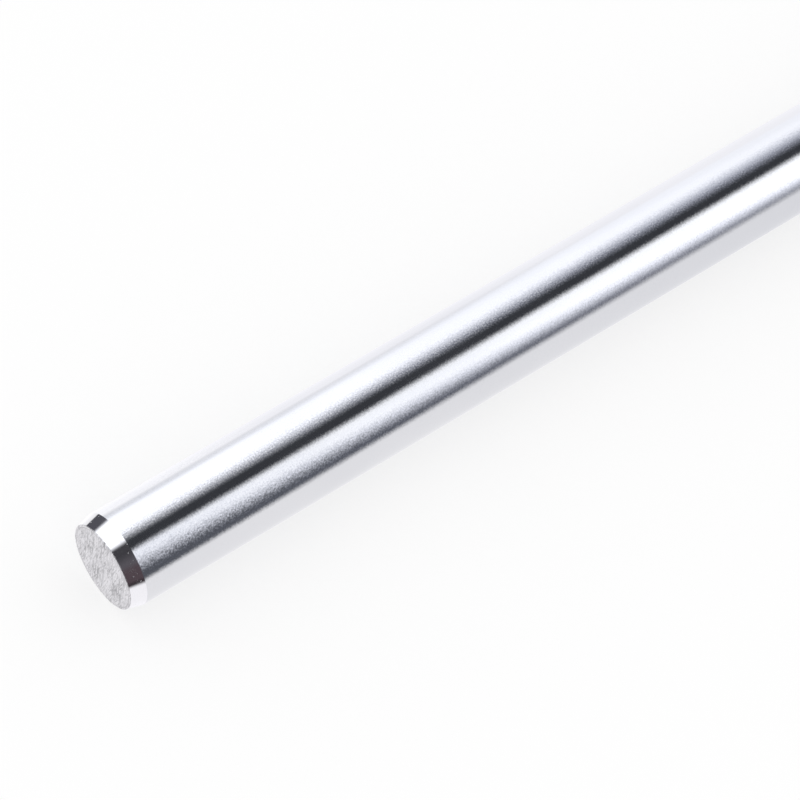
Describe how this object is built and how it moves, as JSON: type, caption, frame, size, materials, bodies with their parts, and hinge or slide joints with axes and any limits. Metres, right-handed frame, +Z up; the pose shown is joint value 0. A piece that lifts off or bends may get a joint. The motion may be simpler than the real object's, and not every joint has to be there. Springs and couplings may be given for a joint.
{
  "type": "linear shaft",
  "caption": "Straight round bar of hardened, ground and polished steel with a shallow lead-in chamfer at each end, for linear bearings to slide along.",
  "frame": {"origin": "on the shaft's axis, at the middle of its length", "axes": "+X along the shaft's axis, +Z up as the shaft lies on a level floor"},
  "size_m": [0.2, 0.012, 0.012],
  "materials": {
    "shaft_steel": "polished"
  },
  "bodies": {
    "root": {"shaft": "shaft_steel"}
  },
  "joints": []
}
